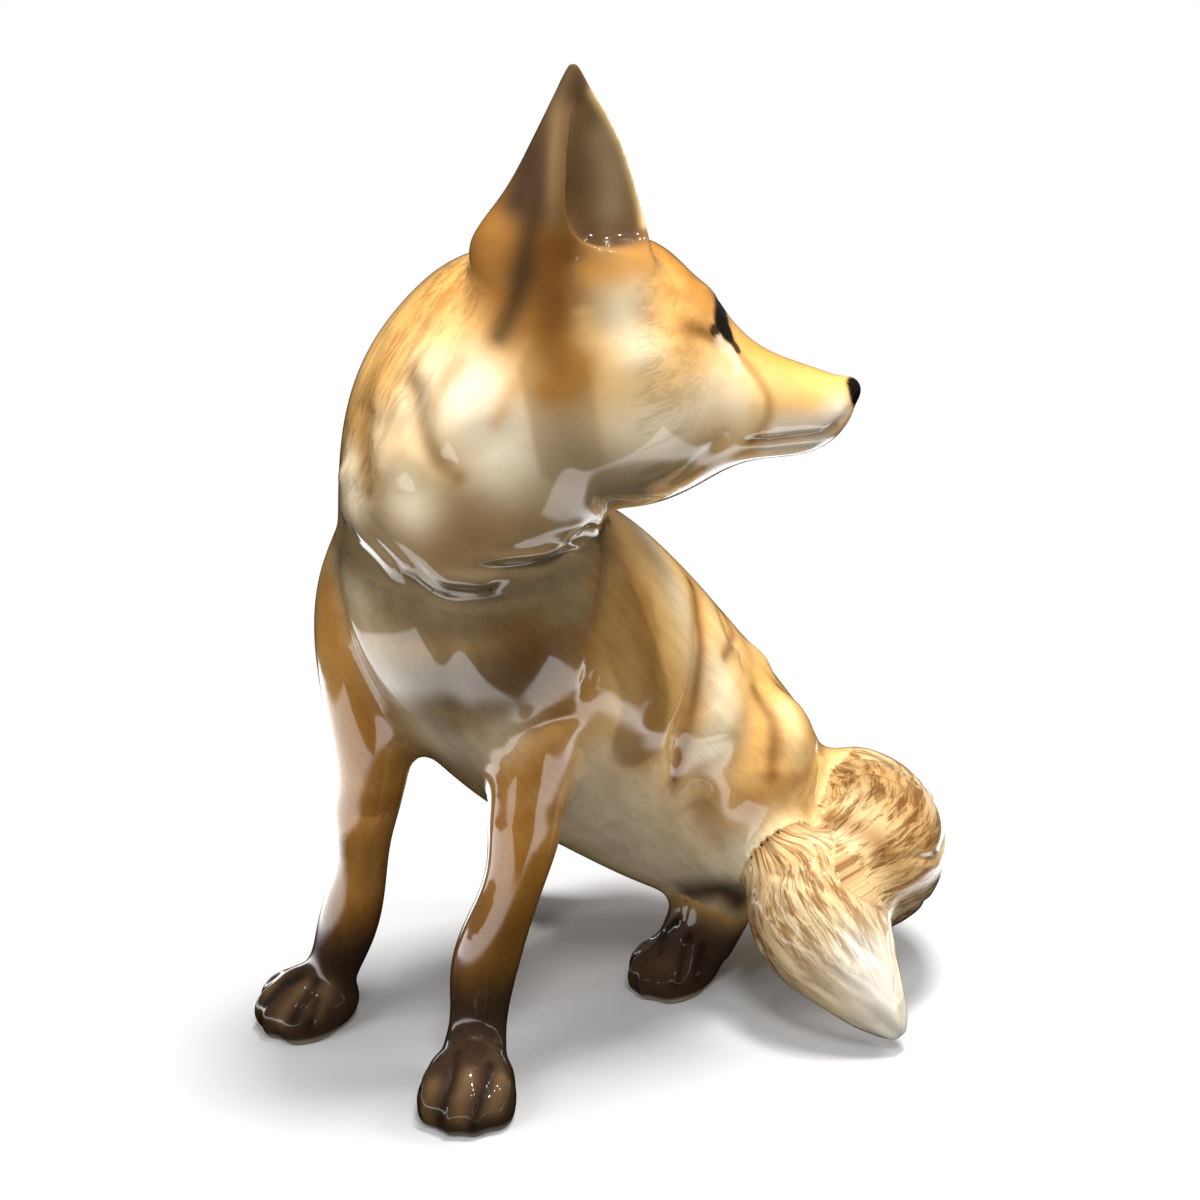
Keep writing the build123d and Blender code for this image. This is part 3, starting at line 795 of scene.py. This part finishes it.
EAR_SPRAYS = [
    Spray("back of the ear", OCHRE, [(500, 235), (490, 270), (505, 310)], 8, 0.9, FACE_RIGHT),
    Spray("dark back", DARK, [(568, 84), (549, 122), (533, 165), (518, 200)], 5.5, 0.95, FACE_RIGHT),
    Spray(
        "dark beside the edge", DARK,
        [(546, 140), (538, 200), (528, 250), (516, 300), (500, 335)], 3.8, 0.8, FACE_RIGHT,
    ),
    Spray("dark top of the ear", DARK, [(556, 84), (548, 104), (540, 128), (534, 150)], 4, 0.9, FACE_RIGHT),
    Spray("inner ear", EAR_INSIDE, [(575, 100), (592, 160), (605, 225)], 10, 1.0, FACE_RIGHT),
    Spray("inner light", TAUPE, [(604, 140), (612, 175), (612, 205)], 4.5, 0.75, FACE_RIGHT),
    # Painted shade: dark on the floor of the ear's cup
    Spray("shade in the ear's cup", DARK, [(588, 238), (606, 244), (632, 236)], 4, 0.8, FACE_RIGHT),
    Spray(
        "edge", EAR_EDGE,
        [(568, 72), (557, 112), (554, 149), (553, 195), (553, 235)], 2.2, 0.9, FACE_RIGHT,
    ),
    Spray("foot of the edge", BROWN, [(553, 240), (556, 285), (554, 325)], 4.5, 0.9, FACE_RIGHT),
    Spray("tip", DARK, [(566, 70), (570, 88)], 5, 0.7, FACE_RIGHT),
    Spray(
        "front rim", PALE_TAN,
        [(594, 89), (614, 118), (628, 154), (638, 190), (645, 224)], 1.3, 0.7, FACE_RIGHT,
    ),
]

TOES = [
    [(433, 1085), (427, 1120)], [(467, 1075), (459, 1120)], [(502, 1078), (492, 1112)],
    [(292, 966), (270, 988)], [(304, 987), (280, 1020)], [(328, 988), (315, 1012)],
]
# Painted light: a paler gold on the right shin, which lies in shade
FOOT_SPRAYS = [Spray("right shin", GOLD, [(376, 825), (372, 860), (366, 890)], 8, 0.7)]
FOOT_SPRAYS += [Spray("toe", TOE, toe, 2.6, 0.7) for toe in TOES]
# Painted shade: black in the grooves between the toes
FOOT_SPRAYS += [Spray("toe line", BLACK, line, TOE_WIDTH, 0.7) for line in TOE_LINES]

TAIL_SPRAYS = [
    Spray("root", GOLD, [(800, 770), (830, 760)], 9, 0.6),
    Spray("loop", TAIL_TAN, [(830, 765), (880, 785), (910, 825), (900, 860)], 14, 0.9),
    Spray("back of the loop", AMBER, [(880, 768), (915, 800), (932, 840)], 7, 0.5),
    Spray("top of the brush", GOLD, [(790, 860), (830, 875), (860, 900)], 9, 0.45),
    # Painted shade: brown in the fold between the tail's loop and its brush
    Spray("shade below the loop", BROWN, [(760, 840), (790, 815), (840, 822), (885, 850)], 5, 0.75),
    Spray("edge of the brush", AMBER, [(757, 890), (764, 925), (772, 950)], 4, 0.5),
    Spray("middle of the brush", TAIL_CREAM, [(800, 930), (835, 965), (860, 1000)], 10, 0.7),
    Spray("underside of the loop", AMBER, [(905, 890), (930, 850)], 5, 0.4),
    Spray("tip", WHITE, [(866, 960), (888, 1000), (904, 1042)], 11, 0.9),
]


def facing(path):
    """Mean direction in which the surface under a path faces."""
    return np.mean([clay.tree.find_nearest(to_scene(place))[1] for place in path], axis=0)


def spray(coat, rows, castings, thin=False):
    """Sprays the castings. Thin ones are sprayed on one side only."""
    chosen = belongs(*castings)
    for row in rows:
        for path in both_sides(curved(clay.traced(row.pixels), SPRAY_STEPS), row.mirror):
            close = chosen & close_to(clay.points, path, SPRAY_REACH * row.radius)
            gap = near_path(clay.points[close], path)[0]
            share = ramp(gap / row.radius, *CRISP_EDGE) if row.crisp else bell(gap, row.radius)
            if thin:
                share = share * ramp(clay.normals[close] @ facing(path), *THIN_SIDE)
            coat[close] += row.strength * share[:, None] * (row.colour - coat[close])


def blended(coat, rounds):
    """The coat with every point's colour mixed with its neighbours', round by round."""
    ends = np.empty(len(figure.data.edges) * 2, int)
    figure.data.edges.foreach_get("vertices", ends)
    ends = ends.reshape(-1, 2)
    here = np.concatenate([ends[:, 0], ends[:, 1], np.arange(len(coat))])
    there = np.concatenate([ends[:, 1], ends[:, 0], np.arange(len(coat))])
    count = np.bincount(here)
    for _ in range(rounds):
        sums = [np.bincount(here, coat[there, channel]) for channel in range(3)]
        coat = np.stack(sums, axis=1) / count[:, None]
    return coat


# Legs darken downwards, and the soles keep a pale edge

LEG_FADES = [(LEG_BROWN, 74, 46), (DARK, 46, 24)]  # heights where a colour starts and where it is full
SOLE_EDGE = (3.0, 0.5)
SOLE_PALENESS = 0.75
BASE_BLEND = 60        # rounds in which the castings' base coats run into each other


def paint_legs(coat):
    height = clay.points[:, 2]
    for colour, start, end in LEG_FADES:
        share = np.where(belongs(*LEGS), ramp(height, start, end), 0)[:, None]
        coat += share * (colour - coat)
    sole = np.where(belongs(*LEGS, *FEET), SOLE_PALENESS * ramp(height, *SOLE_EDGE), 0)[:, None]
    coat += sole * (GREIGE - coat)


def sprayed_coat():
    coat = np.array([BASE_COATS[name] for name in CASTINGS])[casting_of]
    coat = blended(coat, BASE_BLEND)
    spray(coat, BODY_SPRAYS, ("torso",))
    spray(coat, LEG_SPRAYS, ("torso", *LEGS))
    paint_legs(coat)
    spray(coat, HEAD_SPRAYS, ("head", "torso", *EARS))
    spray(coat, EAR_SPRAYS, ("head", *EARS), thin=True)
    spray(coat, FOOT_SPRAYS, (*LEGS, *FEET))
    spray(coat, TAIL_SPRAYS, ("tail",))
    return coat


# Hair: coordinates that run slowly along the fur and fast across it, and how much of it shows

HAIR_ACROSS = 1.3
HAIR_ALONG = 14.0
TAIL_HAIR_ALONG = 8.0
TAIL_HAIR_ACROSS = 1.4
NECK_FLOW = np.array([-0.25, -0.45, -0.85])
BACK_FLOW = np.array([0.05, 0.65, -0.75])
LEG_FLOW = np.array([0.0, 0.0, -1.0])
FACE_FLOW = -FACE - 0.35 * CROWN
HAIR_UPRIGHT = (0.3, 1.0, 0.2)     # a direction in which no hair lies, from which the others are taken
NAPE_WIDTH = 18.0
TAIL_RADIUS = 18.0
LOOP_LENGTH = 75.0
BRUSH_LENGTH = 80.0
BRUSH_BARE = (0.85, 0.35)      # shares of the brush: no hair beyond the first, all of it before the second
FACE_START = -4                # along the face from the skull's centre, where the neck's hair ends
FACE_HAIR = 0.55
FACE_HAIR_START = (0, 6)       # the same, where the face's hair begins and where it is full
FACE_HAIR_END = (32, 10)       # and where it is gone and where it is full
HAIR_AMOUNT = {"torso": 0.18, "head": 0.6, "left_foreleg": 0.2, "right_foreleg": 0.2, "tail": 1.0}


def straight_hair(flow):
    """Coordinates of hair that lies one way."""
    flow = flow / np.linalg.norm(flow)
    first = np.cross(flow, HAIR_UPRIGHT)
    first /= np.linalg.norm(first)
    second = np.cross(flow, first)
    ways = ((first, HAIR_ACROSS), (second, HAIR_ACROSS), (flow, HAIR_ALONG))
    return np.stack([clay.points @ way / step for way, step in ways], axis=1)


def tail_hair():
    loop, brush, on_brush = tail_lengths()
    hair = np.zeros_like(clay.points)
    round_tail = TAIL_RADIUS / TAIL_HAIR_ACROSS
    lengths = ((loop, ~on_brush, LOOP_LENGTH), (brush, on_brush, BRUSH_LENGTH))
    for (_, share, angle), chosen, length in lengths:
        rows = [np.cos(angle) * round_tail, np.sin(angle) * round_tail, share * length / TAIL_HAIR_ALONG]
        hair[chosen] = np.stack(rows, axis=1)[chosen]
    tip = np.where(on_brush, ramp(brush[1], *BRUSH_BARE), 1)
    return hair, tip


def combed_hair():
    """Hair coordinates of every point, and the amount of hair."""
    hair = straight_hair(BACK_FLOW)
    amount = np.zeros(len(clay.points))
    for name, share in HAIR_AMOUNT.items():
        amount[belongs(name)] = share
    ahead = (clay.points - SKULL_CENTRE) @ FACE
    head = belongs("head")
    neck = head & (ahead < FACE_START)
    for chosen, flow in ((neck, NECK_FLOW), (head & ~neck, FACE_FLOW), (belongs(*LEGS), LEG_FLOW)):
        hair[chosen] = straight_hair(flow)[chosen]
    on_nape = bell(near_path(clay.points, clay.traced(NAPE))[0], NAPE_WIDTH)
    on_face = FACE_HAIR * ramp(ahead, *FACE_HAIR_START) * ramp(ahead, *FACE_HAIR_END)
    amount[head] *= np.where(neck, on_nape, on_face)[head]
    tail, tip = tail_hair()
    hair[belongs("tail")] = tail[belongs("tail")]
    return hair, amount * tip


def lay_coat():
    """Colour with the hair's amount as alpha, and the hair's coordinates, as attributes of the clay."""
    hair, amount = combed_hair()
    colours = np.concatenate([sprayed_coat(), amount[:, None]], axis=1)
    coat = figure.data.attributes.new("coat", "FLOAT_COLOR", "POINT")
    coat.data.foreach_set("color", colours.ravel())
    fur = figure.data.attributes.new("fur", "FLOAT_VECTOR", "POINT")
    fur.data.foreach_set("vector", hair.ravel())


lay_coat()


# Glaze over the airbrushed porcelain

class Socket:
    """A shader socket that takes part in sums, differences and products."""

    def __init__(self, tree, output):
        self.tree = tree
        self.output = output

    def node(self, kind, inputs=None, result=0, **settings):
        """Adds a node, sets it up and gives back one of its outputs."""
        node = self.tree.nodes.new(kind)
        for name, value in settings.items():
            setattr(node, name, value)
        for name, value in (inputs or {}).items():
            if isinstance(value, Socket):
                self.tree.links.new(value.output, node.inputs[name])
            else:
                node.inputs[name].default_value = value
        return Socket(self.tree, node.outputs[result])

    def maths(self, operation, other):
        return self.node("ShaderNodeMath", {0: self, 1: other}, operation=operation)

    def __mul__(self, other):
        return self.maths("MULTIPLY", other)

    def __add__(self, other):
        return self.maths("ADD", other)

    def __sub__(self, other):
        return self.maths("SUBTRACT", other)

    def __rsub__(self, other):
        return self * -1 + other

    def __abs__(self):
        return self.node("ShaderNodeMath", {0: self}, operation="ABSOLUTE")

    __rmul__ = __mul__
    __radd__ = __add__

    def between(self, low, high):
        """0 at low, 1 at high, smooth between."""
        inputs = {"Value": self, "From Min": low, "From Max": high}
        return self.node("ShaderNodeMapRange", inputs, interpolation_type="SMOOTHSTEP")

    def mixed(self, other, share):
        """This colour, with a share of another. A Mix node takes colours at 6 and 7 and gives one at 2."""
        inputs = {"Factor": share, 6: self, 7: other}
        return self.node("ShaderNodeMix", inputs, 2, data_type="RGBA")

    def tinted(self, tint):
        """This colour, multiplied by a tint."""
        return self.node("ShaderNodeVectorMath", {0: self, 1: tint}, "Vector", operation="MULTIPLY")

    def along(self, way):
        """How far this place lies in a direction."""
        return self.node("ShaderNodeVectorMath", {0: self, 1: way}, "Value", operation="DOT_PRODUCT")

    def noise(self, **settings):
        """Noise at this place."""
        inputs = {name.capitalize(): value for name, value in settings.items()}
        return self.node("ShaderNodeTexNoise", {"Vector": self, **inputs}, "Fac")


HAIR_TINT = (0.3, 0.18, 0.08)  # what a strand leaves of the colour below it
HAIR_STRENGTH = 0.9
FINE_SHARE = 0.55              # of the strands; the rest is broad
STRAND_EDGE = (0.42, 0.6)
MOTTLE_TINT = (0.8, 0.74, 0.64)
MOTTLE_STRENGTH = 0.6
MOTTLE_EDGE = (0.35, 0.7)
SWELL_HEIGHT = 0.6             # of the glaze's slow waves
STRAND_HEIGHT = 0.5
BUMP = {"Strength": 0.25, "Distance": 0.0012}
GLAZE_FINISH = {"Roughness": 0.25, "Specular IOR Level": 0.2, "Coat Weight": 1.0, "Coat Roughness": 0.03}


def set_inputs(shader, values):
    for name, value in values.items():
        shader.inputs[name].default_value = value


def glaze():
    material = bpy.data.materials.new("glaze")
    material.use_nodes = True
    tree = material.node_tree
    shader = tree.nodes["Principled BSDF"]
    start = Socket(tree, None)
    coat = tree.nodes.new("ShaderNodeAttribute")
    coat.attribute_name = "coat"
    colour = Socket(tree, coat.outputs["Color"])
    amount = Socket(tree, coat.outputs["Alpha"])
    fur = start.node("ShaderNodeAttribute", result="Vector", attribute_name="fur")
    fine = fur.noise(scale=1.0, detail=3.0, roughness=0.6, distortion=1.0)
    broad = fur.noise(scale=0.35, detail=2.0)
    strands = (fine * FINE_SHARE + broad * (1 - FINE_SHARE)).between(*STRAND_EDGE)
    painted = colour.mixed(colour.tinted(HAIR_TINT), strands * amount * HAIR_STRENGTH)
    place = start.node("ShaderNodeTexCoord", result="Object")
    mottle = place.noise(scale=60.0, detail=4.0).between(*MOTTLE_EDGE)
    finished = painted.mixed(painted.tinted(MOTTLE_TINT), mottle * MOTTLE_STRENGTH)
    tree.links.new(finished.output, shader.inputs["Base Color"])
    height = place.noise(scale=95.0, detail=1.0) * SWELL_HEIGHT + fine * amount * STRAND_HEIGHT
    bump = start.node("ShaderNodeBump", {"Height": height, **BUMP}, "Normal")
    tree.links.new(bump.output, shader.inputs["Normal"])
    set_inputs(shader, GLAZE_FINISH)
    return material


figure.data.materials.append(glaze())


# Parting: the skin is cut at the joints, so that every casting has a piece of its own

LUTES = {name: [name + "_lute"] for name in CASTINGS}
LUTES["torso"] = []
LUTES["head"] = ["neck_lute"]
BORDER_ROUNDS = 12
RIM = 1.5              # a piece's edge turns inwards by this much before it is closed


def face_castings():
    """The casting of every face, with even borders."""
    mesh = figure.data
    corners = np.empty(len(mesh.loops), int)
    mesh.loops.foreach_get("vertex_index", corners)
    counts = np.empty(len(mesh.polygons), int)
    mesh.polygons.foreach_get("loop_total", counts)
    face_of = np.repeat(np.arange(len(counts)), counts)
    votes = casting_of
    for _ in range(BORDER_ROUNDS):
        for_face = [np.bincount(face_of, votes[corners] == row) for row in range(len(CASTINGS))]
        labels = np.argmax(for_face, axis=0)
        for_point = [np.bincount(corners, labels[face_of] == row) for row in range(len(CASTINGS))]
        votes = np.argmax(for_point, axis=0)
    return labels


def cut_free(labels, row):
    """The faces of one casting as an object of their own, closed inside the joints."""
    piece = figure.copy()
    piece.data = figure.data.copy()
    piece.name = CASTINGS[row] + "_glazed"
    bpy.context.collection.objects.link(piece)
    piece.data.polygons.foreach_set("select", labels != row)
    select_only([piece])
    bpy.ops.object.mode_set(mode="EDIT")
    bpy.ops.mesh.select_mode(type="FACE")
    bpy.ops.mesh.delete(type="FACE")
    bpy.ops.mesh.select_mode(type="EDGE")
    bpy.ops.mesh.select_non_manifold(extend=False)
    bpy.ops.mesh.extrude_edges_move()
    bpy.ops.object.mode_set(mode="OBJECT")
    turn_in(piece.data)
    bpy.ops.object.mode_set(mode="EDIT")
    bpy.ops.mesh.select_all(action="SELECT")
    bpy.ops.mesh.fill_holes(sides=0)
    bpy.ops.object.mode_set(mode="OBJECT")
    return piece


def read_points(source, name):
    """One vector for each point of a mesh, from its points or from an attribute."""
    values = np.empty(len(source) * 3)
    source.foreach_get(name, values)
    return values.reshape(-1, 3)


def turn_in(mesh):
    """Moves the selected rim below the skin."""
    rim = np.empty(len(mesh.vertices), bool)
    mesh.vertices.foreach_get("select", rim)
    skin = read_points(mesh.attributes["skin"].data, "vector")
    places = read_points(mesh.vertices, "co") - rim[:, None] * skin * RIM * MM
    mesh.vertices.foreach_set("co", places.ravel())


def keep_skin(piece):
    """Shades a piece as the whole skin was shaded, so that no joint shows."""
    mesh = piece.data
    skin = read_points(mesh.attributes["skin"].data, "vector")
    mesh.attributes.remove(mesh.attributes["skin"])
    mesh.normals_split_custom_set_from_vertices(skin)


def part_figure():
    skin = figure.data.attributes.new("skin", "FLOAT_VECTOR", "POINT")
    skin.data.foreach_set("vector", clay.normals.ravel())
    labels = face_castings()
    for row, name in enumerate(CASTINGS):
        piece = cut_free(labels, row)
        keep_skin(piece)
        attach(piece, "root")
        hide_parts(name, *LUTES[name])
    bpy.data.objects.remove(figure)


part_figure()


# Stage and light: a floor that fades into white, lamps above and in front, panels beside, and sparkles

WHITE_LIGHT = (1, 1, 1, 1)
FLOOR_RADIUS = 2.5
FLOOR_SIDES = 96
FLOOR_FADE = (0.28, 0.12)      # metres from the figure: nothing shows beyond the first, all within the second
FLOOR_GLOW = 0.02
FLOOR_FINISH = {
    "Base Color": (0.5, 0.515, 0.545, 1), "Roughness": 0.9, "Specular IOR Level": 0.0,
    "Emission Color": WHITE_LIGHT, "Emission Strength": FLOOR_GLOW,
}
FLOOR_BOUNCE = 0.42            # light that it gives to the figure
FLOOR_IN_GLAZE = 3.3           # white table top, which the glaze mirrors
TABLE_FRONT = (0.17, 0.15)     # its edges before and behind the figure, in metres
TABLE_SLANT = 0.65             # its front edge draws back in the middle
TABLE_BACK = (-0.24, -0.2)
TABLE_LEFT = (-0.34, -0.3)     # its edges beside the figure
TABLE_RIGHT = (0.22, 0.19)
TABLE_START = (0.14, 0.18)     # and the space that the figure itself takes up
WORLD_FILL = 0.16
WORLD_IN_GLAZE = 0.05
FIGURE_MIDDLE = np.array([10.0, 10.0, 130.0])
LEVEL = np.array([1, 1, 0])
TO_CAMERA = (np.array(CAMERA_PLACE) - np.array(CAMERA_AIM)) * LEVEL
TO_CAMERA /= np.linalg.norm(TO_CAMERA)
TO_RIGHT = np.cross((0, 0, 1), TO_CAMERA)

# Lamps: degrees to the right of the camera's side, distance and height, side in metres, power in watts
Lamp = namedtuple("Lamp", "name degrees distance height side power colour in_glaze")

WARM = (1.0, 0.96, 0.89)
MILD = (1.0, 0.97, 0.92)
NEUTRAL = (1.0, 0.98, 0.95)
LAMPS = [
    Lamp("lamp", 95, 130, 850, 0.22, 13.5, WARM, False),
    Lamp("front_lamp", 10, 520, 620, 0.2, 3.3, MILD, False),
    Lamp("sparkle_0", 20, 120, 850, 0.04, 0.5, NEUTRAL, True),
    Lamp("sparkle_1", -30, 330, 800, 0.04, 0.5, NEUTRAL, True),
    Lamp("sparkle_2", 60, 420, 760, 0.04, 0.5, NEUTRAL, True),
    Lamp("left_panel", -50, 600, 420, 0.4, 3.0, NEUTRAL, False),
    Lamp("right_panel", 100, 600, 420, 0.3, 3.0, MILD, False),
]


def add_floor():
    bpy.ops.mesh.primitive_circle_add(vertices=FLOOR_SIDES, radius=FLOOR_RADIUS, fill_type="NGON")
    floor = bpy.context.object
    floor.name = "floor"
    material = bpy.data.materials.new("floor")
    material.use_nodes = True
    tree = material.node_tree
    shader = tree.nodes["Principled BSDF"]
    set_inputs(shader, FLOOR_FINISH)
    start = Socket(tree, None)
    place = start.node("ShaderNodeTexCoord", result="Object")
    distance = start.node("ShaderNodeVectorMath", {0: place}, "Value", operation="LENGTH")
    cover = distance.between(*FLOOR_FADE)
    tree.links.new(cover.output, shader.inputs["Alpha"])
    ahead = place.along(TO_CAMERA)
    aside = place.along(TO_RIGHT)
    front = ahead - abs(aside) * TABLE_SLANT
    table = front.between(*TABLE_FRONT) * aside.between(*TABLE_LEFT) * aside.between(*TABLE_RIGHT)
    mirrored_table = table * ahead.between(*TABLE_BACK) * distance.between(*TABLE_START) * FLOOR_IN_GLAZE
    in_glaze = start.node("ShaderNodeLightPath", result="Is Glossy Ray")
    strength = in_glaze * (mirrored_table - FLOOR_BOUNCE) + FLOOR_BOUNCE
    unseen = start.node("ShaderNodeEmission", {"Color": WHITE_LIGHT, "Strength": strength}, "Emission")
    seen = start.node("ShaderNodeLightPath", result="Is Camera Ray")
    mix = {0: seen, 1: unseen, 2: Socket(tree, shader.outputs["BSDF"])}
    surface = start.node("ShaderNodeMixShader", mix, "Shader")
    tree.links.new(surface.output, tree.nodes["Material Output"].inputs["Surface"])
    floor.data.materials.append(material)


def add_lamp(row):
    """A square lamp beside the figure, turned towards it."""
    data = bpy.data.lights.new(row.name, "AREA")
    data.shape = "SQUARE"
    data.size = row.side
    data.energy = row.power
    data.color = row.colour
    lamp = bpy.data.objects.new(row.name, data)
    bpy.context.collection.objects.link(lamp)
    angle = math.radians(row.degrees)
    away = (TO_CAMERA * math.cos(angle) + TO_RIGHT * math.sin(angle)) * row.distance
    lamp.location = to_scene(FIGURE_MIDDLE + away + np.array([0, 0, row.height]))
    aim(lamp, FIGURE_MIDDLE)
    lamp.visible_glossy = row.in_glaze


def add_world():
    """White to the camera, dim to everything else, and dimmer in the glaze."""
    world = bpy.data.worlds.new("studio")
    bpy.context.scene.world = world
    world.use_nodes = True
    tree = world.node_tree
    background = tree.nodes["Background"]
    background.inputs["Color"].default_value = WHITE_LIGHT
    start = Socket(tree, None)
    seen = start.node("ShaderNodeLightPath", result="Is Camera Ray")
    in_glaze = start.node("ShaderNodeLightPath", result="Is Glossy Ray")
    strength = seen * (1 - WORLD_FILL) + in_glaze * (WORLD_IN_GLAZE - WORLD_FILL) + WORLD_FILL
    tree.links.new(strength.output, background.inputs["Strength"])


add_floor()
add_world()
for row in LAMPS:
    add_lamp(row)
bpy.context.scene.view_settings.view_transform = "Standard"
